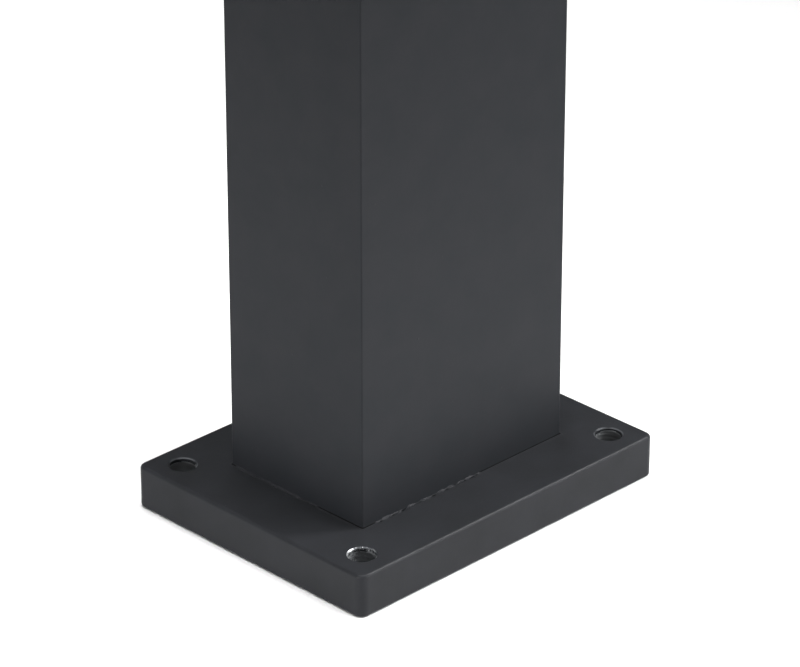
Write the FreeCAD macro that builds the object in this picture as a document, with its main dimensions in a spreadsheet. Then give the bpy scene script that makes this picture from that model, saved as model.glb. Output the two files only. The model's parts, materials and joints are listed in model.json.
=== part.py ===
import FreeCAD, Part
import Sketcher
import os

# Foot of a rectangular fence post: a hollow extruded post standing on a thick
# base plate, held from below by four countersunk screws that run up into screw
# ports inside the extrusion. Four holes near the plate's corners take the
# anchors, and a thin bead of sealant closes the joint round the post.
#
# Frame: millimetres, +Z up. The origin is the centre of the plate's underside.
# X runs along the long side of the post, Y along its short side.

SIZES = {
    # post extrusion
    "post_width": 60.0,        # long side of the section, along X
    "post_depth": 40.0,        # short side of the section, along Y
    "post_length": 140.0,      # length of post above the plate
    "post_wall": 2.0,
    "post_edge": 0.3,          # small radius on the four long outer edges
    # screw ports: split tubes in the four inner corners of the extrusion
    "port_inset": 5.7,         # port axis to the outer faces, both ways
    "port_bore": 5.5,
    "port_wall": 1.5,
    "port_slot": 2.4,          # width of the slot that splits each port
    # base plate
    "plate_overhang": 14.5,    # how far the plate stands out past the post
    "plate_thick": 10.0,
    "plate_corner": 2.0,       # radius of the upright corners
    "plate_edge": 0.8,         # rounding of the top and bottom edges
    # anchor holes
    "anchor_bore": 6.0,
    "anchor_margin": 7.0,      # hole axis to the plate's edges, both ways
    "anchor_rim": 0.3,         # chamfer at both mouths
    # countersunk screws that hold the post
    "screw_shank": 6.0,
    "screw_head": 11.3,
    "screw_grip": 15.0,        # length inside the port
    "screw_sunk": 0.3,         # head below the plate's underside
    "screw_tip": 1.0,          # length and depth of the blunt point
    "thread_pitch": 1.0,
    "thread_depth": 0.5,
    "socket_width": 4.0,       # hexagon, across its flats
    "socket_depth": 2.2,
    "clearance_bore": 6.6,     # bore of the plate round the shank
    "seat_gap": 0.05,          # head to countersink
    "thread_gap": 0.05,        # thread crest to port bore
    # sealant bead round the foot of the post
    "bead_width": 0.5,
    "bead_height": 0.5,
    "bead_slope": 0.35,        # chamfer that gives the bead its sloped face
}

# Distances from the middle of the part, as expressions of the sizes.
POST_X = "post_width / 2"
POST_Y = "post_depth / 2"
HOLLOW_X = "( post_width / 2 - post_wall )"
HOLLOW_Y = "( post_depth / 2 - post_wall )"
WALL_X = "( post_width / 2 - post_wall / 2 )"
WALL_Y = "( post_depth / 2 - post_wall / 2 )"
PORT_X = "( post_width / 2 - port_inset )"
PORT_Y = "( post_depth / 2 - port_inset )"
PORT_OUTER = "( port_bore / 2 + port_wall )"
PLATE_X = "( post_width / 2 + plate_overhang )"
PLATE_Y = "( post_depth / 2 + plate_overhang )"
ANCHOR_X = "( post_width / 2 + plate_overhang - anchor_margin )"
ANCHOR_Y = "( post_depth / 2 + plate_overhang - anchor_margin )"
BEAD_X = "( post_width / 2 + bead_width )"
BEAD_Y = "( post_depth / 2 + bead_width )"
CREST = "( port_bore / 2 - thread_gap )"

# The four corners that ports, holes and screws share: name, side along X, side along Y.
CORNERS = [
    ("front_left", "-", "-"),
    ("front_right", "", "-"),
    ("rear_left", "-", ""),
    ("rear_right", "", ""),
]

doc = FreeCAD.newDocument("fence_post_foot")
sheet = doc.addObject("Spreadsheet::Sheet", "sizes")


# ---------------------------------------------------------------- sizes

def fill_sheet():
    """Writes each size as a plain number beside its name, and names the cell."""
    for row, (alias, value) in enumerate(SIZES.items(), start=1):
        sheet.set("A%d" % row, alias)
        sheet.set("B%d" % row, str(value))
        sheet.setAlias("B%d" % row, alias)
    doc.recompute()


def bound(text):
    """The expression text with each size's name pointed at its cell of the sheet."""
    return " ".join("sizes.%s" % word if word in SIZES else word for word in text.split())


# ---------------------------------------------------------------- helpers

def new_body(label):
    body = doc.addObject("PartDesign::Body", label)
    body.Label = label
    return body


def origin_item(body, role):
    """One of the body's own origin planes or axes."""
    return [item for item in body.Origin.OriginFeatures if item.Role == role][0]


def new_sketch(body, name, role="XY_Plane", lift=None):
    """A sketch on one of the body's own origin planes, lifted along its normal if asked."""
    sketch = body.newObject("Sketcher::SketchObject", name)
    sketch.AttachmentSupport = [(origin_item(body, role), "")]
    sketch.MapMode = "FlatFace"
    if lift:
        sketch.setExpression("AttachmentOffset.Base.z", bound(lift))
    return sketch


def measure(sketch, kind, places, start, value):
    """Adds a dimension at its starting value and binds it to the sizes."""
    index = sketch.addConstraint(Sketcher.Constraint(kind, *places, start))
    sketch.setExpression("Constraints[%d]" % index, bound(value))


def fix_point(sketch, item, end, start, place):
    """Holds one point of the sketch at place, a pair of expressions; "0" puts it on an axis."""
    for kind, axis, first, value in zip(("DistanceX", "DistanceY"), (-2, -1), start, place):
        if value == "0":
            sketch.addConstraint(Sketcher.Constraint("PointOnObject", item, end, axis))
        else:
            measure(sketch, kind, (-1, 1, item, end), first, value)


def add_outline(sketch, places):
    """A closed outline of straight lines through places, each an (x, y) pair of expressions.

    The lines start as a small fan of corners, and the dimensions carry them to their places.
    """
    count = len(places)
    starts = [(1.0 + corner, 1.0 + corner * corner) for corner in range(count)]
    lines = []
    for corner in range(count):
        first = FreeCAD.Vector(*starts[corner], 0)
        second = FreeCAD.Vector(*starts[(corner + 1) % count], 0)
        lines.append(sketch.addGeometry(Part.LineSegment(first, second)))
    for corner in range(count):
        after = lines[(corner + 1) % count]
        sketch.addConstraint(Sketcher.Constraint("Coincident", lines[corner], 2, after, 1))
    for line, start, place in zip(lines, starts, places):
        fix_point(sketch, line, 1, start, place)


def add_rectangle(sketch, low, high):
    """A rectangle between two opposite corners."""
    add_outline(sketch, [(low[0], low[1]), (high[0], low[1]), (high[0], high[1]), (low[0], high[1])])


def add_centred_rectangle(sketch, half_x, half_y):
    add_rectangle(sketch, ("- " + half_x, "- " + half_y), (half_x, half_y))


def add_circle(sketch, place, radius):
    start = (1.0, 1.0)
    shape = Part.Circle(FreeCAD.Vector(*start, 0), FreeCAD.Vector(0, 0, 1), 1.0)
    circle = sketch.addGeometry(shape)
    fix_point(sketch, circle, 3, start, place)
    measure(sketch, "Radius", (circle,), 1.0, radius)


def at_corner(side_x, side_y, half_x, half_y):
    """A place in one quarter of the part, as a pair of expressions."""
    return ("%s %s" % (side_x, half_x), "%s %s" % (side_y, half_y))


def add_corner_circles(sketch, half_x, half_y, radius):
    for _name, side_x, side_y in CORNERS:
        add_circle(sketch, at_corner(side_x, side_y, half_x, half_y), radius)


def pad(body, sketch, name, length):
    feature = body.newObject("PartDesign::Pad", name)
    feature.Profile = sketch
    feature.setExpression("Length", bound(length))
    doc.recompute()
    return feature


def cut(body, sketch, name, length=None):
    """A pocket upwards from the sketch, right through the body unless it has a length."""
    before = body.Shape.Volume
    feature = body.newObject("PartDesign::Pocket", name)
    feature.Profile = sketch
    feature.Reversed = True
    if length:
        feature.setExpression("Length", bound(length))
    else:
        feature.Type = "ThroughAll"
    doc.recompute()
    if body.Shape.Volume >= before:
        raise RuntimeError("%s removed nothing" % name)
    return feature


def edges_where(feature, test):
    """Names of the edges of the feature's shape that pass the test."""
    return ["Edge%d" % (i + 1) for i, edge in enumerate(feature.Shape.Edges) if test(edge)]


def dress(body, kind, name, base, edges, radius):
    """A fillet or a chamfer of the named edges of the base feature."""
    feature = body.newObject("PartDesign::" + kind, name)
    feature.Base = (base, edges)
    feature.setExpression("Radius" if kind == "Fillet" else "Size", bound(radius))
    doc.recompute()
    return feature


def is_upright(edge):
    """True for a straight edge along Z."""
    ends = [vertex.Point for vertex in edge.Vertexes]
    return len(ends) == 2 and abs(ends[0].z - ends[1].z) > 1e-6 and edge.BoundBox.XLength < 1e-6


def is_level_at(height):
    """A test for an edge that lies flat at one height."""
    return lambda edge: abs(edge.BoundBox.ZMin - height) < 1e-6 and edge.BoundBox.ZLength < 1e-6


# ---------------------------------------------------------------- sub-parts

def build_post():
    """The extrusion: an oblong tube with a split screw port in each inner corner."""
    body = new_body("post_profile")
    body.setExpression("Placement.Base.z", bound("plate_thick"))

    section = new_sketch(body, "post_section")
    add_centred_rectangle(section, POST_X, POST_Y)
    block = pad(body, section, "post_block", "post_length")
    dress(body, "Fillet", "post_edges", block, edges_where(block, is_upright), "post_edge")

    hollow = new_sketch(body, "post_hollow_section")
    add_centred_rectangle(hollow, HOLLOW_X, HOLLOW_Y)
    cut(body, hollow, "post_hollow")

    tubes = new_sketch(body, "port_tube_section")
    add_corner_circles(tubes, PORT_X, PORT_Y, PORT_OUTER)
    pad(body, tubes, "port_tubes", "post_length")

    webs = new_sketch(body, "port_web_section")
    for _name, side_x, side_y in CORNERS:
        inner = at_corner(side_x, side_y, PORT_X, PORT_Y)
        outer = at_corner(side_x, side_y, WALL_X, WALL_Y)
        add_rectangle(webs, inner, outer)
    pad(body, webs, "port_webs", "post_length")

    slots = new_sketch(body, "port_slot_section")
    for _name, side_x, side_y in CORNERS:
        slot_end = "( post_width / 2 - port_inset - port_bore )"
        low = ("%s %s" % (side_x, slot_end), "%s %s - port_slot / 2" % (side_y, PORT_Y))
        high = ("%s %s" % (side_x, PORT_X), "%s %s + port_slot / 2" % (side_y, PORT_Y))
        add_rectangle(slots, low, high)
    cut(body, slots, "port_slots")

    bores = new_sketch(body, "port_bore_section")
    add_corner_circles(bores, PORT_X, PORT_Y, "port_bore / 2")
    cut(body, bores, "port_bores")
    return body


def build_plate():
    """The base plate, with anchor holes near its corners and countersunk holes under the post."""
    body = new_body("base_plate")

    outline = new_sketch(body, "plate_outline")
    add_centred_rectangle(outline, PLATE_X, PLATE_Y)
    block = pad(body, outline, "plate_block", "plate_thick")
    corners = dress(body, "Fillet", "plate_corners", block, edges_where(block, is_upright), "plate_corner")
    top = corners.Shape.BoundBox.ZMax
    flat = edges_where(corners, is_level_at(top)) + edges_where(corners, is_level_at(0))
    dress(body, "Fillet", "plate_edges", corners, flat, "plate_edge")

    anchors = new_sketch(body, "anchor_centres")
    add_corner_circles(anchors, ANCHOR_X, ANCHOR_Y, "anchor_bore / 2")
    drilled = cut(body, anchors, "anchor_holes")
    mouths = edges_where(drilled, lambda edge: edge.Curve.TypeId == "Part::GeomCircle" and edge.Closed)
    dress(body, "Chamfer", "anchor_rims", drilled, mouths, "anchor_rim")

    centres = new_sketch(body, "screw_centres")
    add_corner_circles(centres, PORT_X, PORT_Y, "clearance_bore / 2")
    doc.recompute()
    before = body.Shape.Volume
    hole = body.newObject("PartDesign::Hole", "screw_holes")
    hole.Profile = centres
    doc.recompute()
    hole.ThreadType = "None"
    hole.DepthType = "ThroughAll"
    hole.Reversed = True
    hole.HoleCutType = "Countersink"
    hole.HoleCutCustomValues = True
    hole.HoleCutCountersinkAngle = 90
    hole.setExpression("Diameter", bound("clearance_bore"))
    hole.setExpression("HoleCutDiameter", bound("screw_head + 2 * screw_sunk"))
    doc.recompute()
    if body.Shape.Volume >= before:
        raise RuntimeError("the screw holes removed nothing")
    return body


def build_screw(name, side_x, side_y):
    """A countersunk screw, head down in the plate, its thread inside one port of the post."""
    body = new_body("base_screw_" + name)
    body.setExpression("Placement.Base.x", bound("%s %s" % (side_x, PORT_X)))
    body.setExpression("Placement.Base.y", bound("%s %s" % (side_y, PORT_Y)))
    head = "( screw_head / 2 - seat_gap )"
    top = "plate_thick + screw_grip"

    half = new_sketch(body, "screw_half_" + name, "XZ_Plane")
    add_outline(half, [
        ("0", "screw_sunk"),
        (head, "screw_sunk"),
        ("screw_shank / 2", "screw_sunk + %s - screw_shank / 2" % head),
        ("screw_shank / 2", "plate_thick - thread_gap"),
        (CREST, "plate_thick - thread_gap"),
        (CREST, top + " - screw_tip"),
        (CREST + " - screw_tip", top),
        ("0", top),
    ])
    turned = body.newObject("PartDesign::Revolution", "screw_turned_" + name)
    turned.Profile = half
    turned.ReferenceAxis = (half, ["V_Axis"])
    turned.Angle = 360
    doc.recompute()

    notch = new_sketch(body, "thread_notch_" + name, "XZ_Plane")
    add_outline(notch, [
        (CREST + " - thread_depth", "plate_thick + thread_pitch"),
        (CREST + " + thread_gap", "plate_thick + thread_pitch / 2"),
        (CREST + " + thread_gap", "plate_thick + 3 * thread_pitch / 2"),
    ])
    groove = body.newObject("PartDesign::Groove", "thread_groove_" + name)
    groove.Profile = notch
    groove.ReferenceAxis = (notch, ["V_Axis"])
    groove.Angle = 360
    doc.recompute()
    grooves = body.newObject("PartDesign::LinearPattern", "thread_" + name)
    grooves.Originals = [groove]
    grooves.Direction = (origin_item(body, "Z_Axis"), [""])
    turns = "floor( ( screw_grip - screw_tip ) / thread_pitch - 1 )"
    grooves.setExpression("Occurrences", bound(turns))
    grooves.setExpression("Length", bound("( %s - 1 ) * thread_pitch" % turns))
    body.Tip = grooves
    doc.recompute()

    socket = new_sketch(body, "socket_outline_" + name, lift="screw_sunk")
    point = "socket_width / sqrt(3)"
    add_outline(socket, [
        (point, "0"),
        (point + " / 2", "socket_width / 2"),
        ("- " + point + " / 2", "socket_width / 2"),
        ("- " + point, "0"),
        ("- " + point + " / 2", "- socket_width / 2"),
        (point + " / 2", "- socket_width / 2"),
    ])
    cut(body, socket, "socket_" + name, "socket_depth")
    return body


def build_bead():
    """The sealant bead: a thin sloped frame in the corner between post and plate."""
    body = new_body("joint_sealant")
    body.setExpression("Placement.Base.z", bound("plate_thick"))
    ring = new_sketch(body, "bead_ring")
    add_centred_rectangle(ring, BEAD_X, BEAD_Y)
    add_centred_rectangle(ring, POST_X, POST_Y)
    frame = pad(body, ring, "bead_frame", "bead_height")
    limits = frame.Shape.BoundBox
    level = is_level_at(limits.ZMax)

    def is_outer(edge):
        middle = edge.BoundBox.Center
        on_x_side = abs(abs(middle.x) - limits.XMax) < 1e-6
        on_y_side = abs(abs(middle.y) - limits.YMax) < 1e-6
        return level(edge) and (on_x_side or on_y_side)

    dress(body, "Chamfer", "bead_face", frame, edges_where(frame, is_outer), "bead_slope")
    return body


# ---------------------------------------------------------------- whole part

def build_all():
    fill_sheet()
    bodies = [build_post(), build_plate(), build_bead()]
    for name, side_x, side_y in CORNERS:
        bodies.append(build_screw(name, side_x, side_y))
    doc.recompute()
    return bodies


def check(bodies):
    """Stops if any object failed or any sub-part isn't one sound solid."""
    for item in doc.Objects:
        if "Invalid" in item.State or "Error" in item.State:
            raise RuntimeError("%s: %s" % (item.Label, item.State))
    for body in bodies:
        shape = body.Shape
        if shape.isNull() or not shape.isValid() or len(shape.Solids) != 1:
            raise RuntimeError("%s isn't one sound solid" % body.Label)


def export(bodies):
    os.makedirs("parts", exist_ok=True)
    for body in bodies:
        body.Shape.exportStep("parts/%s.step" % body.Label)
        box = body.Shape.BoundBox
        sides = (box.XLength, box.YLength, box.ZLength)
        print("%-26s %8.1f mm3  %6.2f x %6.2f x %6.2f mm" % (body.Label, body.Shape.Volume, *sides))


all_bodies = build_all()
check(all_bodies)
export(all_bodies)
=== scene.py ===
# %% [markdown]
# # Foot of a fence post
#
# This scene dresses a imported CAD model: a hollow post that stands on a thick base plate. The CAD
# model is a fixed frame, in metres, with its origin under the middle of the plate, and nothing in
# it is moved. Blender adds what drawings leave out: the skin of the powder coat, the bare metal
# of the cut end, the uneven sealant round the foot and the tapped walls of the anchor holes.
# Where a piece or a finish lies is worked out from the frame, so it follows if sizes change there.
# Only what the frame doesn't give is written here, such as the post's wall and where lumps are.

# %% Load the frame
import json
import math

import bpy
from mathutils import Euler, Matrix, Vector


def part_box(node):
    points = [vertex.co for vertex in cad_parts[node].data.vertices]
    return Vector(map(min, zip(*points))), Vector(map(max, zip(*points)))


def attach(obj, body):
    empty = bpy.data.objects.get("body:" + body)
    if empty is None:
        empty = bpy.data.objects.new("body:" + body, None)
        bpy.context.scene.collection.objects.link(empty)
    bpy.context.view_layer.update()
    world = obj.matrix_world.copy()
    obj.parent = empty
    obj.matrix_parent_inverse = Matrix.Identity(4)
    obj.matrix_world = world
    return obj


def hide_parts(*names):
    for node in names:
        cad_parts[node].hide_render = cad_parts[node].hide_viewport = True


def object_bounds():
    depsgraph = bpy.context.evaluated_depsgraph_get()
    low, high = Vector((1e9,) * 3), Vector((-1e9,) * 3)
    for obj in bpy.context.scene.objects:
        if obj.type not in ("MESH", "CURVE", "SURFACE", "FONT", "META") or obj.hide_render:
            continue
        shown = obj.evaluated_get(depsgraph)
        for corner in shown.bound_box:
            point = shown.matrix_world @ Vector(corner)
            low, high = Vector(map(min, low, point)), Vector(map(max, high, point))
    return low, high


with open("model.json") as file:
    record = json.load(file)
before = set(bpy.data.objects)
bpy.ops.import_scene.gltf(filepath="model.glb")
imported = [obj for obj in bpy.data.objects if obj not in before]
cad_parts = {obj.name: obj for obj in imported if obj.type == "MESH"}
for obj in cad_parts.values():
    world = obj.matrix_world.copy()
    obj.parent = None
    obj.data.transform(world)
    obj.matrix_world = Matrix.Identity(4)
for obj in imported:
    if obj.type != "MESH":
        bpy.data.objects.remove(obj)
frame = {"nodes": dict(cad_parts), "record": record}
cad_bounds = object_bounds()
MM = 0.001
plate_low, plate_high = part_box("base_plate")
post_low, post_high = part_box("post_profile")
print("object", [round(side / MM, 1) for side in cad_bounds[1] - cad_bounds[0]], "mm")

# %% [markdown]
# ## The camera
#
# A wide lens close by would make the post lean apart at the top. A long lens from about a metre
# away keeps its upright edges nearly parallel. It looks down at about 27 degrees onto the corner
# between the post's narrow side, on the left, and its wide side. It is placed by angles round the
# object, because then one function can place the lamps in the same way.

# %% Place the camera
CAMERA_AZIMUTH = math.radians(-44.844)
CAMERA_ELEVATION = math.radians(26.718)
CAMERA_DISTANCE = 933.9 * MM
CAMERA_LENS = 197.2     # mm of focal length
AIM_HEIGHT = 37.93 * MM     # of the point that it looks at
AIM_RIGHT = 0.64 * MM       # of that point, to the camera's right of the post's axis


def towards(azimuth, elevation):
    """Unit vector from the object to a place at that azimuth, 0 in front, and elevation."""
    level = math.cos(elevation)
    return Vector((math.sin(azimuth) * level, -math.cos(azimuth) * level, math.sin(elevation)))


def place_round(data, name, aim, azimuth, elevation, distance):
    """Makes an object of a camera or lamp that looks at aim from that side."""
    thing = bpy.data.objects.new(name, data)
    bpy.context.scene.collection.objects.link(thing)
    thing.location = aim + towards(azimuth, elevation) * distance
    thing.rotation_euler = Euler((math.pi / 2 - elevation, 0, azimuth))
    return thing


camera_data = bpy.data.cameras.new("camera")
camera_data.lens = CAMERA_LENS
camera_right = Vector((math.cos(CAMERA_AZIMUTH), math.sin(CAMERA_AZIMUTH), 0))
camera_aim = camera_right * AIM_RIGHT + Vector((0, 0, AIM_HEIGHT))
camera = place_round(camera_data, "camera", camera_aim,
                     CAMERA_AZIMUTH, CAMERA_ELEVATION, CAMERA_DISTANCE)
bpy.context.scene.camera = camera
print("camera at", [round(c, 3) for c in camera.location])

# %% [markdown]
# ## Helpers for materials
#
# Colours are given as hex values, as a colour picker shows them, which are sRGB. The shader wants
# linear light, so one function turns one into the other. A second function adds a node, sets its
# properties and its inputs, and links whatever is passed as a socket. Patterns are given by their
# real size in millimetres: on object coordinates, which are metres, a noise of scale s has spots
# about 1/s across.

# %% Colour, scale and node helpers
def linear(hex_colour):
    """An sRGB hex colour such as 3a3d40 as linear RGBA."""
    channels = [int(hex_colour[i:i + 2], 16) / 255 for i in (0, 2, 4)]
    return [c / 12.92 if c <= 0.04045 else ((c + 0.055) / 1.055) ** 2.4 for c in channels] + [1.0]


def per(size_mm):
    """The scale of a pattern whose spots are size_mm across."""
    return 1.0 / (size_mm * MM)


def add(tree, kind, settings=None, **inputs):
    """Adds a node; settings are its own properties, inputs its sockets by name or by _number."""
    node = tree.nodes.new(kind)
    for name, value in (settings or {}).items():
        setattr(node, name, value)
    for name, value in inputs.items():
        key = int(name[1:]) if name[0] == "_" else name.replace("_", " ")
        socket = node.inputs[key]
        if isinstance(value, bpy.types.NodeSocket):
            tree.links.new(value, socket)
        else:
            socket.default_value = value
    return node


def new_material(name):
    """An empty node material, its tree, and the object coordinates that its patterns read."""
    material = bpy.data.materials.new(name)
    material.use_nodes = True
    material.node_tree.nodes.clear()
    place = add(material.node_tree, "ShaderNodeTexCoord").outputs["Object"]
    return material, material.node_tree, place


def paint(thing, material):
    """Gives every slot of an object that material; the mesh itself stays as it is."""
    slots = thing.data.materials
    if not slots:
        slots.append(material)
    for index in range(len(slots)):
        slots[index] = material


print("per(1 mm) =", per(1.0))

# %% [markdown]
# ## Powder coat
#
# The post and the plate are sprayed with polyester powder, which is baked until it melts into a
# satin skin. The skin isn't quite flat: it has a soft ripple over a millimetre wide, called
# orange peel, a fine grain where grains of powder didn't flow out, and a few nibs of dust under
# it. Its anthracite grey hardly varies. A painted texture would show that as spots of colour,
# and they would look flat. Here it is height and gloss, so the lamps bring it out: three bumps
# on one plastic shader. The skin's own recipe is a function, because the post needs it too.

# %% Powder coat recipe
PEEL_WIDTH, PEEL_DEPTH = 1.4, 0.009     # mm, of the orange peel
GRAIN_WIDTH, GRAIN_DEPTH = 0.45, 0.005  # mm, of the fine grain
NIB_SPACING, NIB_HEIGHT = 6.0, 0.05     # mm, of the specks of dust under the coat
NIB_RADIUS = 0.3        # mm
CLOUD_WIDTH = 9.0       # mm, of the faint clouds in the colour
GRAIN_SHARE = 0.35      # of the grain in the colour's pattern: the rest is clouds
GLOSS_SPREAD = 0.05     # how far the roughness varies with the grain, both ways
COAT_LEVEL = 0.09       # specular level: fine pits hide part of the gloss of the flat skin
COAT_ROUGHNESS = 0.46   # of the flat skin


def coat_surface(tree, place, dark, light, roughness):
    """The colour, roughness and normal sockets of a powder coat between two hex tones."""
    cloud = add(tree, "ShaderNodeTexNoise", Vector=place, Scale=per(CLOUD_WIDTH),
                Detail=3.0, Roughness=0.6)
    grain = add(tree, "ShaderNodeTexNoise", Vector=place, Scale=per(GRAIN_WIDTH),
                Detail=2.0, Roughness=0.7)
    peel = add(tree, "ShaderNodeTexNoise", Vector=place, Scale=per(PEEL_WIDTH),
               Detail=1.0, Roughness=0.4)
    specks = add(tree, "ShaderNodeTexVoronoi", {"feature": "F1"}, Vector=place, Scale=per(NIB_SPACING))
    nib = add(tree, "ShaderNodeMapRange", {"interpolation_type": "SMOOTHSTEP"},
              Value=specks.outputs["Distance"],
              From_Min=0.0, From_Max=NIB_RADIUS / NIB_SPACING, To_Min=1.0, To_Max=0.0)
    blend = add(tree, "ShaderNodeMix", Factor=GRAIN_SHARE,
                _2=cloud.outputs["Fac"], _3=grain.outputs["Fac"])
    tone = add(tree, "ShaderNodeMapRange", Value=blend.outputs["Result"],
               From_Min=0.35, From_Max=0.65)
    colour = add(tree, "ShaderNodeMix", {"data_type": "RGBA"}, _0=tone.outputs["Result"],
                 _6=linear(dark), _7=linear(light))
    gloss = add(tree, "ShaderNodeMapRange", Value=grain.outputs["Fac"], From_Min=0.3, From_Max=0.7,
                To_Min=roughness - GLOSS_SPREAD, To_Max=roughness + GLOSS_SPREAD)
    rippled = add(tree, "ShaderNodeBump", Distance=PEEL_DEPTH * MM, Height=peel.outputs["Fac"])
    grained = add(tree, "ShaderNodeBump", Distance=GRAIN_DEPTH * MM, Height=grain.outputs["Fac"],
                  Normal=rippled.outputs["Normal"])
    dusted = add(tree, "ShaderNodeBump", Distance=NIB_HEIGHT * MM, Height=nib.outputs["Result"],
                 Normal=grained.outputs["Normal"])
    return colour.outputs[2], gloss.outputs["Result"], dusted.outputs["Normal"]


def powder_coat(name, dark, light, roughness):
    """A whole material of powder coat, with its tree, place, shader and roughness socket."""
    material, tree, place = new_material(name)
    colour, gloss, normal = coat_surface(tree, place, dark, light, roughness)
    shader = add(tree, "ShaderNodeBsdfPrincipled", Base_Color=colour, Roughness=gloss,
                 Specular_IOR_Level=COAT_LEVEL, Normal=normal)
    add(tree, "ShaderNodeOutputMaterial", Surface=shader.outputs["BSDF"])
    return material, tree, place, shader, gloss


print("orange peel", PEEL_WIDTH, "mm wide, grain", GRAIN_WIDTH, "mm")

# %% [markdown]
# ## Finishes that change with the place
#
# The coat is thin on an edge, the post is bare inside, and round the holes metal shows. Such a
# border could be painted by hand or be the joint of two pieces. Here two helpers measure where a
# point is, in a box or round a hole, and the materials change by that. So the borders are exact,
# and they follow the frame when its sizes change.

# %% How deep in a box, and how far from a hole's axis
holes = next(mount for mount in frame["record"]["mounts"] if mount["name"] == "anchor_holes")["dims"]
HOLE_RADIUS = holes["hole_r_mm"] * MM
hole_x = holes["spacing_x_mm"] / 2 * MM
hole_y = holes["spacing_y_mm"] / 2 * MM


def depths_in(tree, place, low, high):
    """Three sockets: how deep a point is in a box, from its nearest side in X, in Y and in Z."""
    centred = add(tree, "ShaderNodeVectorMath", {"operation": "SUBTRACT"},
                  _0=place, _1=(low + high) / 2)
    folded = add(tree, "ShaderNodeVectorMath", {"operation": "ABSOLUTE"}, _0=centred.outputs[0])
    depths = add(tree, "ShaderNodeVectorMath", {"operation": "SUBTRACT"},
                 _0=(high - low) / 2, _1=folded.outputs[0])
    return add(tree, "ShaderNodeSeparateXYZ", Vector=depths.outputs[0]).outputs


def round_hole(tree, place, mouth):
    """Two sockets: where a point is from the middle of a hole's mouth, and how far from its axis."""
    centred = add(tree, "ShaderNodeVectorMath", {"operation": "SUBTRACT"}, _0=place, _1=mouth)
    level = add(tree, "ShaderNodeVectorMath", {"operation": "MULTIPLY"},
                _0=centred.outputs[0], _1=(1.0, 1.0, 0.0))
    radius = add(tree, "ShaderNodeVectorMath", {"operation": "LENGTH"}, _0=level.outputs[0])
    return centred.outputs[0], radius.outputs["Value"]


print("holes", 2 * HOLE_RADIUS / MM, "mm wide")

# %% [markdown]
# ## The hole that a tap has cleared
#
# In the hole at the front corner a tap cut through the coat. It tore a ragged patch down the left
# of the wall, and left flecks of bare metal round the mouth. The metal could be thin pieces of
# its own laid on the coat, but torn borders need very many faces. So it is a mask, which the
# plate and the thread in the hole share: a noise moves the patch's border to and fro, and the
# same noise, where it is high, makes the flecks.

# %% Where its metal is bare
TORN_WIDTH = 0.5                # mm, of the tears
TORN_REACH = 1.1 * MM           # how far they move the patch's border, both ways
PATCH_BORDER = -1.9 * MM        # where it lies without tears, across the hole from its axis
FLECK_LEVEL = 0.56              # of the noise: where it is higher there is a fleck
FLECK_DEPTH = 0.75 * MM         # below the plate's top, down to which there are flecks
CLEARED_REACH = 0.24 * MM       # how far past the hole's wall the mouth is marked
ACROSS = math.radians(45)       # turns the place so that X runs to the camera's right


def cleared_metal(tree, place):
    """A mask socket, 1 where the metal of the cleared hole is bare."""
    centred, radius = round_hole(tree, place, (-hole_x, -hole_y, plate_high.z))
    turned = add(tree, "ShaderNodeMapping", Vector=centred, Rotation=(0, 0, ACROSS))
    across = add(tree, "ShaderNodeSeparateXYZ", Vector=turned.outputs["Vector"])
    torn = add(tree, "ShaderNodeTexNoise", Vector=place, Scale=per(TORN_WIDTH),
               Detail=3.0, Roughness=0.7)
    ragged = add(tree, "ShaderNodeMapRange", Value=torn.outputs["Fac"], From_Min=0.35, From_Max=0.65,
                 To_Min=-TORN_REACH, To_Max=TORN_REACH)
    side = add(tree, "ShaderNodeMath", {"operation": "ADD"},
               _0=across.outputs["X"], _1=ragged.outputs["Result"])
    patch = add(tree, "ShaderNodeMath", {"operation": "LESS_THAN"},
                _0=side.outputs[0], _1=PATCH_BORDER)
    spots = add(tree, "ShaderNodeMath", {"operation": "GREATER_THAN"},
                _0=torn.outputs["Fac"], _1=FLECK_LEVEL)
    high = add(tree, "ShaderNodeMath", {"operation": "GREATER_THAN"},
               _0=across.outputs["Z"], _1=-FLECK_DEPTH)
    flecks = add(tree, "ShaderNodeMath", {"operation": "MULTIPLY"},
                 _0=spots.outputs[0], _1=high.outputs[0])
    bare = add(tree, "ShaderNodeMath", {"operation": "MAXIMUM"},
               _0=patch.outputs[0], _1=flecks.outputs[0])
    in_hole = add(tree, "ShaderNodeMath", {"operation": "LESS_THAN"},
                  _0=radius, _1=HOLE_RADIUS + CLEARED_REACH)
    masked = add(tree, "ShaderNodeMath", {"operation": "MULTIPLY"},
                 _0=bare.outputs[0], _1=in_hole.outputs[0])
    return masked.outputs[0]


print("metal is bare up to", round((HOLE_RADIUS + CLEARED_REACH) / MM, 2), "mm from the hole's axis")
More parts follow.
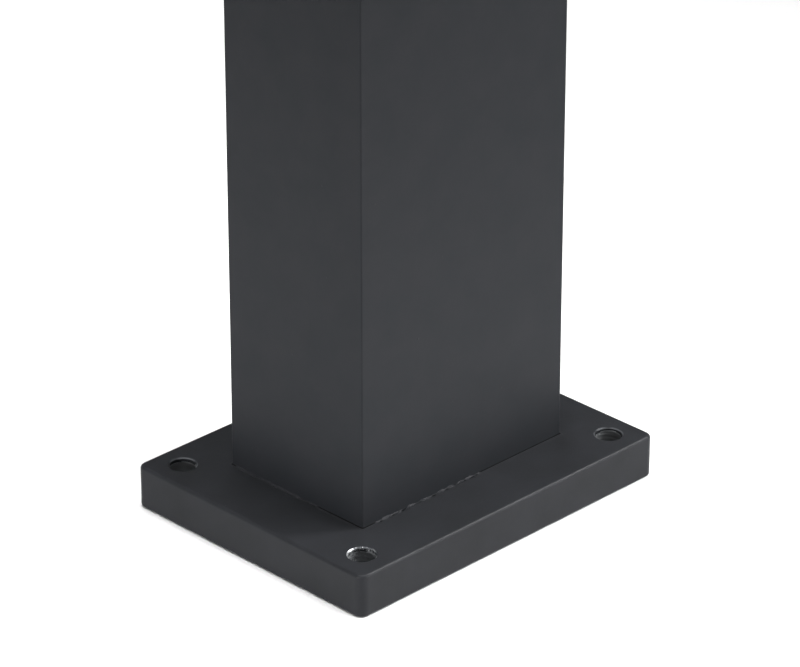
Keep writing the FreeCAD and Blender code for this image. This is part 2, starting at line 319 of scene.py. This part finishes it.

# %% [markdown]
# ## The plate's coat
#
# Melting powder pulls back from an edge. Over the plate's rounded edges the skin is thin, smooth
# and glossier, and shows a light as a crisp line. The narrow chamfers of the holes are painted a
# lighter grey, more in some places than in others: a painted highlight, for glints of light along
# the rims. Both could be painted by hand on an unwrapped texture, as worn edges often are, but here
# they come from the distances: one roughness and one colour change on the coat's own shader. The
# four holes stand mirror-wise round the middle, so the absolute value of the coordinates folds them
# into one.

# %% Thin coat over the edges
EDGE_GLOSS = 0.70       # roughness over an edge, as a part of that of the flat skin
EDGE_START, EDGE_END = 0.3 * MM, 0.8 * MM       # how deep in the plate the edge's gloss fades
plate_coat, tree, place, shader, gloss = powder_coat(
    "plate_powder_coat", "242527", "292a2d", COAT_ROUGHNESS)
deep_x, deep_y, deep_z = depths_in(tree, place, plate_low, plate_high)
aside = add(tree, "ShaderNodeMath", {"operation": "MINIMUM"}, _0=deep_x, _1=deep_y)
round_edge = add(tree, "ShaderNodeMath", {"operation": "MAXIMUM"}, _0=aside.outputs[0], _1=deep_z)
pulled = add(tree, "ShaderNodeMapRange", {"interpolation_type": "SMOOTHSTEP"},
             Value=round_edge.outputs[0], From_Min=EDGE_START, From_Max=EDGE_END,
             To_Min=EDGE_GLOSS, To_Max=1.0)
edge_gloss = add(tree, "ShaderNodeMath", {"operation": "MULTIPLY"},
                 _0=gloss, _1=pulled.outputs["Result"])
tree.links.new(edge_gloss.outputs[0], shader.inputs["Roughness"])
print("roughness over an edge", round(EDGE_GLOSS * COAT_ROUGHNESS, 2))

# %% Painted highlight on the holes' rims, and bare metal round the holes
RIM = 0.30 * MM         # width of a hole's chamfer
PATCH_WIDTH = 3.0       # mm, of the stretches of the rims that get the painted highlight
folded = add(tree, "ShaderNodeVectorMath", {"operation": "ABSOLUTE"}, _0=place)
from_hole, radius = round_hole(tree, folded.outputs[0], (hole_x, hole_y, plate_high.z))
ring = add(tree, "ShaderNodeMapRange", {"interpolation_type": "SMOOTHSTEP"}, Value=radius,
           From_Min=HOLE_RADIUS + 0.5 * RIM, From_Max=HOLE_RADIUS + 1.1 * RIM,
           To_Min=1.0, To_Max=0.0)
height = add(tree, "ShaderNodeSeparateXYZ", Vector=from_hole)
at_top = add(tree, "ShaderNodeMath", {"operation": "GREATER_THAN"}, _0=height.outputs["Z"], _1=-RIM)
rim_highlight_ring = add(tree, "ShaderNodeMath", {"operation": "MULTIPLY"},
           _0=ring.outputs["Result"], _1=at_top.outputs[0])
patches = add(tree, "ShaderNodeTexNoise", Vector=place, Scale=per(PATCH_WIDTH), Detail=1.0)
patchy = add(tree, "ShaderNodeMapRange", {"interpolation_type": "SMOOTHSTEP"},
             Value=patches.outputs["Fac"], From_Min=0.40, From_Max=0.58, To_Min=0.15, To_Max=1.0)
uneven = add(tree, "ShaderNodeMath", {"operation": "MULTIPLY"},
             _0=rim_highlight_ring.outputs[0], _1=patchy.outputs["Result"])
# Painted highlight: the rims are mixed towards a lighter grey, 4c4e51, in patches, standing in for
# glints of light along them.
rim_highlighted_colour = add(tree, "ShaderNodeMix", {"data_type": "RGBA"}, _0=uneven.outputs[0],
                _6=shader.inputs["Base Color"].links[0].from_socket, _7=linear("4c4e51"))
bare_metal = cleared_metal(tree, place)
mouth = add(tree, "ShaderNodeMix", {"data_type": "RGBA"}, _0=bare_metal,
            _6=rim_highlighted_colour.outputs[2], _7=linear("b2b4b6"))
tree.links.new(mouth.outputs[2], shader.inputs["Base Color"])
tree.links.new(bare_metal, shader.inputs["Metallic"])
paint(frame["nodes"]["base_plate"], plate_coat)
print("plate coat:", len(plate_coat.node_tree.nodes), "nodes")

# %% [markdown]
# ## The post: coated outside, bare inside
#
# The post is an aluminium extrusion. It was coated as a long bar and sawn to length afterwards,
# so the outside is powder coat, the inside is bare with the fine lines that the die leaves along
# its length, and the cut end is grey metal with the marks of the saw teeth. It is one solid. It
# could be split into three pieces, but the real one isn't. Instead one shader mixes the three
# finishes by place: object coordinates say how deep a point is in the wall and how high it is.

# %% Where the post is bare
WALL = 2.0 * MM
SKIN = 0.12 * MM        # the depth of coat and burr that shows round the cut end
END_DEPTH = 0.02 * MM   # of what counts as the cut end
post_coat, tree, place = new_material("powder_coated_extrusion")
deep_x, deep_y, deep_z = depths_in(tree, place, post_low, post_high)
depth = add(tree, "ShaderNodeMath", {"operation": "MINIMUM"}, _0=deep_x, _1=deep_y)
inside = add(tree, "ShaderNodeMath", {"operation": "GREATER_THAN"}, _0=depth.outputs[0], _1=WALL / 2)
at_end = add(tree, "ShaderNodeMath", {"operation": "LESS_THAN"}, _0=deep_z, _1=END_DEPTH)
under_skin = add(tree, "ShaderNodeMath", {"operation": "GREATER_THAN"}, _0=depth.outputs[0], _1=SKIN)
sawn = add(tree, "ShaderNodeMath", {"operation": "MULTIPLY"},
           _0=at_end.outputs[0], _1=under_skin.outputs[0])
bare = add(tree, "ShaderNodeMath", {"operation": "MAXIMUM"}, _0=inside.outputs[0], _1=sawn.outputs[0])
print("the post is bare more than", WALL / 2 / MM, "mm inside its outline")

# %% Die lines and saw marks
DIE_LINE_WIDTH, DIE_LINE_LENGTH = 0.5, 90.0     # mm
SAW_SLANT = math.radians(24)    # of the marks to the post's side
SAW_WAVE = 0.55         # mm of the marks for each radian of their wave: they lie 3.5 mm apart
WAVE_RATE = 20          # radians of a wave texture for each unit of its scale
MARK_DEPTH = 0.02 * MM
along = add(tree, "ShaderNodeMapping", Vector=place,
            Scale=(per(DIE_LINE_WIDTH), per(DIE_LINE_WIDTH), per(DIE_LINE_LENGTH)))
die_lines = add(tree, "ShaderNodeTexNoise", Vector=along.outputs["Vector"], Scale=1.0, Detail=3.0)
slanted = add(tree, "ShaderNodeMapping", Vector=place, Rotation=(0, 0, SAW_SLANT))
saw_marks = add(tree, "ShaderNodeTexWave", {"bands_direction": "X"}, Vector=slanted.outputs["Vector"],
                Scale=per(SAW_WAVE * WAVE_RATE), Distortion=1.2, Detail=2.0, Detail_Scale=2.0)
marks = add(tree, "ShaderNodeMix", Factor=at_end.outputs[0],
            _2=die_lines.outputs["Fac"], _3=saw_marks.outputs["Fac"])
scored = add(tree, "ShaderNodeBump", Distance=MARK_DEPTH, Height=marks.outputs["Result"])
drawn_metal = add(tree, "ShaderNodeMix", {"data_type": "RGBA"}, _0=die_lines.outputs["Fac"],
                  _6=linear("b4b6b8"), _7=linear("d2d3d4"))
sawn_metal = add(tree, "ShaderNodeMix", {"data_type": "RGBA"}, _0=saw_marks.outputs["Fac"],
                 _6=linear("66686a"), _7=linear("94969a"))
metal = add(tree, "ShaderNodeMix", {"data_type": "RGBA"}, _0=at_end.outputs[0],
            _6=drawn_metal.outputs[2], _7=sawn_metal.outputs[2])
print("saw marks", round(2 * math.pi * SAW_WAVE, 1), "mm apart")

# %% Coat and bare metal on one shader
METAL_ROUGHNESS = 0.52
coat_colour, coat_gloss, coat_normal = coat_surface(tree, place, "242629", "28292c", COAT_ROUGHNESS)
colour = add(tree, "ShaderNodeMix", {"data_type": "RGBA"}, _0=bare.outputs[0],
             _6=coat_colour, _7=metal.outputs[2])
gloss = add(tree, "ShaderNodeMix", Factor=bare.outputs[0], _2=coat_gloss, _3=METAL_ROUGHNESS)
normal = add(tree, "ShaderNodeMix", {"data_type": "VECTOR"}, Factor=bare.outputs[0],
             _4=coat_normal, _5=scored.outputs["Normal"])
shader = add(tree, "ShaderNodeBsdfPrincipled", Base_Color=colour.outputs[2],
             Metallic=bare.outputs[0], Roughness=gloss.outputs["Result"],
             Specular_IOR_Level=COAT_LEVEL, Normal=normal.outputs[1])
add(tree, "ShaderNodeOutputMaterial", Surface=shader.outputs["BSDF"])
paint(frame["nodes"]["post_profile"], post_coat)
print("post finish:", len(tree.nodes), "nodes")

# %% [markdown]
# ## Helpers for modelling
#
# The new pieces are made as by hand: a primitive at its size and place, then edit mode, where an
# operator acts on all that is selected. So a small function selects what is wanted by its place,
# and another switches to edit mode and back. Pieces keep their place in their mesh and their
# object at the origin, like the pieces of the frame, so that patterns on object coordinates run
# over all of them alike.

# %% Selecting and finishing helpers
def begin():
    """Leaves nothing selected, so that the next primitive is alone."""
    bpy.ops.object.select_all(action="DESELECT")


def pick(mode, wanted):
    """In edit mode, selects the vertices, edges or faces whose middle passes the test."""
    mesh = bpy.context.object.data
    bpy.ops.mesh.select_mode(type=mode)
    bpy.ops.mesh.select_all(action="DESELECT")
    bpy.ops.object.mode_set(mode="OBJECT")
    elements = {"VERT": mesh.vertices, "EDGE": mesh.edges, "FACE": mesh.polygons}[mode]
    count = 0
    for element in elements:
        indices = [element.index] if mode == "VERT" else element.vertices
        corners = [mesh.vertices[i].co for i in indices]
        element.select = bool(wanted(sum(corners, Vector()) / len(corners)))
        count += element.select
    bpy.ops.object.mode_set(mode="EDIT")
    return count


def selected_vertices(piece):
    """The vertices selected in edit mode."""
    piece.update_from_editmode()
    return [vertex for vertex in piece.data.vertices if vertex.select]


def settle(piece, name, material, smooth):
    """Puts the piece's place into its mesh, names and paints it, and rides it on the frame."""
    bpy.ops.object.transform_apply(location=True, rotation=True, scale=True)
    bpy.ops.object.shade_smooth_by_angle(angle=math.radians(smooth))
    piece.name = piece.data.name = name
    paint(piece, material)
    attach(piece, "root")
    return len(piece.data.polygons)


print("helpers ready")

# %% [markdown]
# ## The sealant round the foot
#
# Where the post meets the plate, the joint was closed with a little sealant and coated over. It
# isn't a neat fillet: for part of each side it stands up in lumps, and towards the corners it has
# sunk and leaves a thin dark crack. In the frame it is a plain wedge. Here it becomes a strip
# that is hollow against the post, cut into short lengths, which a cloudy displacement lifts into
# lumps where a vertex group says so. A bump in the material couldn't fill a crack.

# %% The strip: insets of one rectangle
BEAD_STEPS = (0.10, 0.12, 0.12, 0.16)    # mm, widths of the strip's four bands, from the outside
strip_width = sum(BEAD_STEPS) * MM
foot = Vector((0, 0, plate_high.z))     # the middle of the post's foot, on the plate's top
begin()
bpy.ops.mesh.primitive_plane_add(size=2, location=foot)
bead = bpy.context.object
bpy.ops.object.transform_apply(location=True)
bpy.ops.object.mode_set(mode="EDIT")
bpy.ops.transform.resize(value=(post_high.x + strip_width, post_high.y + strip_width, 1),
                         center_override=foot)
for width in BEAD_STEPS:
    bpy.ops.mesh.inset(thickness=width * MM)
bpy.ops.mesh.delete(type="FACE")
print("strip", round(strip_width / MM, 2), "mm wide with", len(BEAD_STEPS), "bands")

# %% The strip's thickness and its short lengths
LENGTH_STEP = 0.3 * MM
STRIP_HEIGHT = 0.05 * MM
LOOP_HEIGHTS = (
    # distance of a loop of vertices from the post and how far it is raised, both in mm
    (0.0, 0.20),        # the top, against the post
    (0.28, 0.04),       # the lip of the hollow
    (0.40, 0.03),       # the slope down to the plate
)
bpy.ops.mesh.select_all(action="SELECT")
bpy.ops.mesh.extrude_region_move(TRANSFORM_OT_translate={"value": (0, 0, STRIP_HEIGHT)})
for axis, other, half in ((0, 1, post_high.x), (1, 0, post_high.y)):
    cuts = int(2 * half / LENGTH_STEP)
    # An edge that runs along this axis, from corner to corner, has its middle at 0 on it.
    pick("EDGE", lambda middle: abs(middle[axis]) < 0.2 * MM and abs(middle[other]) > 1.0 * MM)
    bpy.ops.mesh.subdivide(number_cuts=cuts)
bpy.ops.mesh.select_all(action="SELECT")
bpy.ops.mesh.normals_make_consistent(inside=False)


def from_post(point):
    """How far a point is out from the post's sides."""
    return max(abs(point.x) - post_high.x, abs(point.y) - post_high.y)


def on_top(point):
    """Whether a point is on the strip's upper side."""
    return point.z > foot.z + 0.01 * MM


for near, height in LOOP_HEIGHTS:
    pick("VERT", lambda point: on_top(point) and abs(from_post(point) - near * MM) < 0.03 * MM)
    bpy.ops.transform.translate(value=(0, 0, height * MM))
bpy.ops.object.mode_set(mode="OBJECT")
print("bead mesh:", len(bead.data.polygons), "faces")

# %% Where the sealant stands up
HIGHEST = 0.42          # mm, the usual height of lumps that are lifted in full
RAMP = 1.5              # mm, over which a stretch of lumps starts and ends
CRACK_WIDTH = 0.2 * MM  # of the strip next to the post where there are no lumps, painted dark as shade
LUMPS = (
    # side, start and end along it in mm from its left end as seen from outside, height in mm
    ("front", 3.5, 35.0, HIGHEST),
    ("left", 1.0, 27.0, 0.24),
    ("back", 20.0, 49.0, 0.36),
    ("right", 9.0, 28.0, 0.32),
)


def lump_weight(point):
    """How much a point is lifted, from 0 where there are no lumps to 1 in the highest ones."""
    weight = 0.0
    for side, start, end, height in LUMPS:
        outward, along, half, length = {
            "front": (-point.y, point.x, post_high.y, post_high.x),
            "right": (point.x, point.y, post_high.x, post_high.y),
            "back": (point.y, -point.x, post_high.y, post_high.x),
            "left": (-point.x, -point.y, post_high.x, post_high.y),
        }[side]
        if outward > half - 0.02 * MM:
            travelled = (along + length) / MM
            ramp = min(travelled - start, end - travelled) / RAMP
            weight = max(weight, min(1.0, max(0.0, ramp)) * height / HIGHEST)
    return weight


points = [vertex.co.copy() for vertex in bead.data.vertices]
weights = [lump_weight(point) for point in points]
raised = [i for i, point in enumerate(points) if weights[i] > 0 and point.z > foot.z]
lumps = bead.vertex_groups.new(name="lumps")
for index in raised:
    lumps.add([index], weights[index], "REPLACE")
# Next to the post and outside the lumps the weight falls to 0, and there the crack is painted dark as
# shade.
coated_over = [1.0 if from_post(point) > CRACK_WIDTH else weight
               for point, weight in zip(points, weights)]
coat_else_painted_shade = bead.data.attributes.new("coat_else_painted_shade", "FLOAT", "POINT")
coat_else_painted_shade.data.foreach_set("value", coated_over)
print(len(raised), "vertices in lumps")

# %% Lift the lumps, upwards and outwards
STAY_LEVEL = 0.47       # the cloud's level that stays in place: below it the sealant sinks
LIFTS = (
    # name, direction, size of the clouds and full strength, both in mm
    ("up", "Z", 1.5, 1.05),
    ("out", "NORMAL", 0.45, 0.45),
)
for name, direction, grain, strength in LIFTS:
    clouds = bpy.data.textures.new("lumps_" + name, "CLOUDS")
    clouds.noise_scale = grain * MM
    clouds.noise_depth = 2
    lift = bead.modifiers.new(name, "DISPLACE")
    lift.texture = clouds
    lift.texture_coords = "LOCAL"
    lift.direction = direction
    lift.mid_level = STAY_LEVEL
    lift.strength = strength * MM
    lift.vertex_group = "lumps"
    bpy.ops.object.modifier_apply(modifier=name)
highest = max(vertex.co.z for vertex in bead.data.vertices)
print("highest lump", round((highest - foot.z) / MM, 2), "mm")

# %% [markdown]
# The sealant's finish follows the same weight, which the mesh carries as an attribute. The lumps
# are coated and painted a little lighter than the plate: a painted highlight, for the light that
# their tops catch. The coat also runs over the outer part of the strip. Next to the post, where
# there are no lumps, a crack is left, painted near-black and dull: painted shade, for the shadow in
# the gap between post and plate.

# %% Coated lumps painted lighter, cracks painted dark as shade
FULLY_COATED = 0.3      # the weight from which the coat is whole
# Painted shade: the crack is dull as well as dark, so it reflects little.
SHADE_CRACK_ROUGHNESS = 0.95
sealant, tree, place = new_material("coated_sealant")
weight = add(tree, "ShaderNodeAttribute", {"attribute_name": "coat_else_painted_shade"}).outputs["Fac"]
coated = add(tree, "ShaderNodeMapRange", {"interpolation_type": "SMOOTHSTEP"},
             Value=weight, From_Min=0.0, From_Max=FULLY_COATED)
# Painted highlight: the lumps' coat, 262729 to 2f3033, is a little lighter than the plate's, for the
# light that their tops catch.
lump_colour, lump_gloss, lump_normal = coat_surface(tree, place, "262729", "2f3033", 0.48)
# Painted shade: the crack is painted near-black, 101011, for the shadow in the gap between post and
# plate.
colour = add(tree, "ShaderNodeMix", {"data_type": "RGBA"}, _0=coated.outputs["Result"],
             _6=linear("101011"), _7=lump_colour)
gloss = add(tree, "ShaderNodeMix", Factor=coated.outputs["Result"],
            _2=SHADE_CRACK_ROUGHNESS, _3=lump_gloss)
shader = add(tree, "ShaderNodeBsdfPrincipled", Base_Color=colour.outputs[2],
             Roughness=gloss.outputs["Result"], Specular_IOR_Level=COAT_LEVEL, Normal=lump_normal)
add(tree, "ShaderNodeOutputMaterial", Surface=shader.outputs["BSDF"])
faces = settle(bead, "sealant_bead", sealant, smooth=60.0)
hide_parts("joint_sealant")
print("sealant bead:", faces, "faces")

# %% [markdown]
# ## The tapped walls of the anchor holes
#
# The four holes have a coarse screw thread. In three of them the coat runs down over it, and in
# the one at the front corner it has been cleared with a tap, so bright metal shows. A thread is
# a tooth that climbs as it turns, so it is modelled as one: two edges that make a tooth, turned
# round the axis by the Screw modifier, cut off level at both ends, and thickened outwards to a
# thin wall that lies in the frame's plain hole. It is made once and copied into each hole.

# %% One tooth
THREAD_PITCH = 1.0 * MM
THREAD_ROOT = HOLE_RADIUS - 0.07 * MM       # radius, clear of the hole's wall
THREAD_CREST = THREAD_ROOT - 0.12 * MM      # radius
CREST_FLAT = 0.50       # how far the crest's two edges come together: 1 leaves them apart
begin()
bpy.ops.mesh.primitive_plane_add(size=THREAD_PITCH, rotation=(math.pi / 2, 0, 0),
                                 location=(THREAD_ROOT + THREAD_PITCH / 2, 0, 0))
thread = bpy.context.object
bpy.ops.object.transform_apply(location=True, rotation=True, scale=True)
bpy.ops.object.mode_set(mode="EDIT")
pick("VERT", lambda point: point.x > THREAD_ROOT + 0.01 * MM)
bpy.ops.mesh.delete(type="VERT")
bpy.ops.mesh.select_all(action="SELECT")
bpy.ops.mesh.subdivide(number_cuts=2)
pick("VERT", lambda point: abs(point.z) < 0.25 * THREAD_PITCH)
bpy.ops.transform.translate(value=(THREAD_CREST - THREAD_ROOT, 0, 0))
bpy.ops.transform.resize(value=(1, 1, CREST_FLAT), center_override=(THREAD_CREST, 0, 0))
bpy.ops.object.mode_set(mode="OBJECT")
print("tooth:", len(thread.data.vertices), "vertices")

# %% Wind it, and cut the thread off level
TURN_STEPS = 56                 # faces in one turn
SPARE_TURNS = 3                 # past the plate's faces, to be cut off
THREAD_DEPTH = 0.90 * MM        # of both ends of the thread below the plate's faces
MERGE_DISTANCE = 0.001 * MM
wind = thread.modifiers.new("wind", "SCREW")
wind.screw_offset = THREAD_PITCH
wind.iterations = int((plate_high.z - plate_low.z) / THREAD_PITCH) + SPARE_TURNS
wind.steps = wind.render_steps = TURN_STEPS
bpy.ops.object.modifier_apply(modifier="wind")
bpy.ops.object.mode_set(mode="EDIT")
bpy.ops.mesh.select_all(action="SELECT")
bpy.ops.mesh.remove_doubles(threshold=MERGE_DISTANCE)
bpy.ops.transform.translate(value=(0, 0, -THREAD_PITCH))
thread_top = plate_high.z - THREAD_DEPTH
thread_bottom = plate_low.z + THREAD_DEPTH
bpy.ops.mesh.bisect(plane_co=(0, 0, thread_top), plane_no=(0, 0, 1), clear_outer=True)
bpy.ops.mesh.select_all(action="SELECT")
bpy.ops.mesh.bisect(plane_co=(0, 0, thread_bottom), plane_no=(0, 0, 1), clear_inner=True)
bpy.ops.object.mode_set(mode="OBJECT")
print("thread:", len(thread.data.polygons), "faces")

# %% A short cone at both ends, and a wall
CONE = 0.22 * MM                # height, from the cut thread to a round ring of the root's radius
WALL_THICKNESS = 0.04 * MM      # outwards, and still clear of the hole's wall
bpy.ops.object.mode_set(mode="EDIT")
for level, step in ((thread_top, CONE), (thread_bottom, -CONE)):
    pick("EDGE", lambda middle: abs(middle.z - level) < 0.0005 * MM)
    bpy.ops.mesh.extrude_region_move(TRANSFORM_OT_translate={"value": (0, 0, step)})
    bpy.ops.transform.tosphere(value=1.0, center_override=(0, 0, level + step))
    radius = max(Vector((v.co.x, v.co.y)).length for v in selected_vertices(thread))
    scale = THREAD_ROOT / radius
    bpy.ops.transform.resize(value=(scale, scale, 1), center_override=(0, 0, level + step))
bpy.ops.mesh.select_all(action="SELECT")
bpy.ops.mesh.normals_make_consistent(inside=False)
bpy.ops.object.mode_set(mode="OBJECT")
# The faces have to look at the axis, so that the wall grows outwards.
face = thread.data.polygons[0]
if face.normal.x * face.center.x + face.normal.y * face.center.y > 0:
    thread.data.flip_normals()
wall = thread.modifiers.new("wall", "SOLIDIFY")
wall.thickness = WALL_THICKNESS
bpy.ops.object.modifier_apply(modifier="wall")
print("thread wall:", len(thread.data.polygons), "faces")

# %% [markdown]
# The cleared thread is cut metal. It is bright where the tap bit, and elsewhere the coat is left.
# It is torn and rough, so it looks light from all sides. A plain metal would be simpler, but it
# would end in a ring at the mouth, so the thread has the same mask as the plate. The coat on the
# threads is painted a much paler grey than on the plate: painted light, so that the walls down in
# the holes, where little light arrives, look about as bright as the plate's top. The powder
# coat's recipe gives it, with other colours.

# %% The finishes of the threads
TEAR_WIDTH, TEAR_DEPTH = 0.3, 0.12      # mm, of the marks that the tap left
cut_metal, tree, place = new_material("tapped_bare_metal")
bare_metal = cleared_metal(tree, place)
# Painted light: where coat is left on the cleared thread it is painted pale, 5c5e60, for the shade
# down in the hole.
tone = add(tree, "ShaderNodeMix", {"data_type": "RGBA"}, _0=bare_metal,
           _6=linear("5c5e60"), _7=linear("b8babc"))
chatter = add(tree, "ShaderNodeTexNoise", Vector=place, Scale=per(TEAR_WIDTH), Detail=2.0)
torn = add(tree, "ShaderNodeBump", Distance=TEAR_DEPTH * MM, Height=chatter.outputs["Fac"])
shader = add(tree, "ShaderNodeBsdfPrincipled", Base_Color=tone.outputs[2],
             Metallic=bare_metal, Roughness=0.55, Specular_IOR_Level=COAT_LEVEL,
             Normal=torn.outputs["Normal"])
add(tree, "ShaderNodeOutputMaterial", Surface=shader.outputs["BSDF"])
# Painted light: the coat over the threads, 5a5c5e to 666869, is painted far paler than the plate's,
# for the shade down in the holes.
thread_coat_painted_lighter = powder_coat("coat_over_thread_painted_lighter", "5a5c5e", "666869", 0.5)[0]
print("finishes", cut_metal.name, "and", thread_coat_painted_lighter.name)

# %% A thread in every hole
# Each is turned by an angle of its own, as no two taps start at the same place.
for side_x, name_x in ((-1, "left"), (1, "right")):
    for side_y, name_y in ((-1, "front"), (1, "rear")):
        begin()
        thread.select_set(True)
        bpy.context.view_layer.objects.active = thread
        bpy.ops.object.duplicate(linked=False)
        copy = bpy.context.object
        start = math.radians(40 + 75 * side_x + 20 * side_y)
        bpy.ops.transform.rotate(value=start, orient_axis="Z", center_override=(0, 0, 0))
        bpy.ops.transform.translate(value=(side_x * hole_x, side_y * hole_y, 0))
        cleared = (side_x, side_y) == (-1, -1)
        faces = settle(copy, "hole_thread_" + name_y + "_" + name_x,
                       cut_metal if cleared else thread_coat_painted_lighter, smooth=35.0)
        print(copy.name, faces, "faces")
bpy.data.objects.remove(thread)

# %% [markdown]
# ## The screws from below
#
# Four countersunk screws come up through the plate into the post's screw ports. They are turned
# steel with a thin zinc plating, so they are metal, slightly blue, with fine rings round their
# own axis. The four stand mirror-wise round the middle of the plate. So one material serves all
# of them: the absolute value of the coordinates folds the four places into one, and moving that
# by one screw's place centres the rings.

# %% Zinc-plated turned steel
RING_WAVE = 0.3         # mm of the rings for each radian of their wave: they lie 1.9 mm apart
RING_DEPTH = 0.008 * MM
BLOOM_WIDTH = 1.6       # mm, of the cloudy bloom on the zinc
screw_low, screw_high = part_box("base_screw_rear_right")
screw_axis = (screw_low + screw_high) / 2
zinc, tree, place = new_material("zinc_plated_steel")
folded = add(tree, "ShaderNodeVectorMath", {"operation": "ABSOLUTE"}, _0=place)
centred = add(tree, "ShaderNodeVectorMath", {"operation": "SUBTRACT"}, _0=folded.outputs[0],
              _1=(screw_axis.x, screw_axis.y, 0))
rings = add(tree, "ShaderNodeTexWave", {"wave_type": "RINGS", "rings_direction": "Z"},
            Vector=centred.outputs[0], Scale=per(RING_WAVE * WAVE_RATE), Distortion=0.6)
bloom = add(tree, "ShaderNodeTexNoise", Vector=place, Scale=per(BLOOM_WIDTH), Detail=3.0)
tone = add(tree, "ShaderNodeMix", {"data_type": "RGBA"}, _0=bloom.outputs["Fac"],
           _6=linear("aeb3ba"), _7=linear("d3d6da"))
gloss = add(tree, "ShaderNodeMapRange", Value=bloom.outputs["Fac"], To_Min=0.24, To_Max=0.42)
turned = add(tree, "ShaderNodeBump", Distance=RING_DEPTH, Height=rings.outputs["Fac"])
shader = add(tree, "ShaderNodeBsdfPrincipled", Base_Color=tone.outputs[2], Metallic=1.0,
             Roughness=gloss.outputs["Result"], Normal=turned.outputs["Normal"])
add(tree, "ShaderNodeOutputMaterial", Surface=shader.outputs["BSDF"])
screws = [name for name in frame["nodes"] if name.startswith("base_screw")]
for name in screws:
    paint(frame["nodes"][name], zinc)
print(len(screws), "screws plated")

# %% [markdown]
# ## Floor and light
#
# The floor is plain matt near-white. Dark satin shows mostly what it reflects, so the lamps shape
# the object. A long softbox close overhead makes a bright pool on the floor, which the post
# mirrors near its foot and less higher up. It aims past the object, to the side that the post's
# narrow side mirrors. A large box high and far off lights the plate and the whole floor. A
# small one on the right draws the bright line along the plate's edge. Two low ones light the
# post's wide and narrow side: a grid narrows their spread, so that the foot gets more than the
# top. The world is nearly dark, so that the plate's top, which reflects what is behind the
# object, stays dark too.

# %% Floor
FLOOR_SIZE = 6.0
begin()
bpy.ops.mesh.primitive_plane_add(size=FLOOR_SIZE, location=(0, 0, cad_bounds[0].z))
floor = bpy.context.object
floor.name = floor.data.name = "floor"
floor_paint, tree, place = new_material("matt_floor_paint")
shader = add(tree, "ShaderNodeBsdfPrincipled", Base_Color=linear("f4f4f4"), Roughness=0.9)
add(tree, "ShaderNodeOutputMaterial", Surface=shader.outputs["BSDF"])
paint(floor, floor_paint)
print("floor", FLOOR_SIZE, "m wide")

# %% Lamps
POOL_AZIMUTH = math.radians(-135)       # of the side of the floor that the narrow side mirrors
SOFTBOXES = (
    # name, azimuth and elevation in degrees, distance in m, size in m, spread in degrees, watts,
    # and how far its aim is from the post's foot towards POOL_AZIMUTH, in mm
    ("overhead_box", -45, 90, 0.70, (0.20, 0.70), 70, 1.16, 85),
    ("high_box", 30, 65, 3.60, (1.60, 1.60), 180, 79.0, 0),
    ("edge_box", 55, 40, 0.90, (0.20, 0.20), 30, 0.232, 0),
    ("low_box", 35, 8, 0.90, (0.50, 0.20), 30, 0.22, 0),
    ("left_box", -90, 8, 0.90, (0.40, 0.20), 30, 0.24, 0),
)
for name, azimuth, elevation, distance, size, spread, watts, shift in SOFTBOXES:
    lamp = bpy.data.lights.new(name, "AREA")
    lamp.shape = "RECTANGLE"
    lamp.size, lamp.size_y = size
    lamp.energy = watts
    lamp.spread = math.radians(spread)
    aim = foot + towards(POOL_AZIMUTH, 0) * (shift * MM)
    place_round(lamp, name, aim, math.radians(azimuth), math.radians(elevation), distance)
print(len(SOFTBOXES), "softboxes")

# %% World and view
WORLD_STRENGTH = 0.05
world = bpy.data.worlds.new("studio")
world.use_nodes = True
background = world.node_tree.nodes["Background"]
background.inputs["Color"].default_value = linear("ffffff")
background.inputs["Strength"].default_value = WORLD_STRENGTH
bpy.context.scene.world = world
# The standard view shows colours as they are, where the filmic ones would grey the white floor.
bpy.context.scene.view_settings.view_transform = "Standard"
print("world strength", WORLD_STRENGTH)
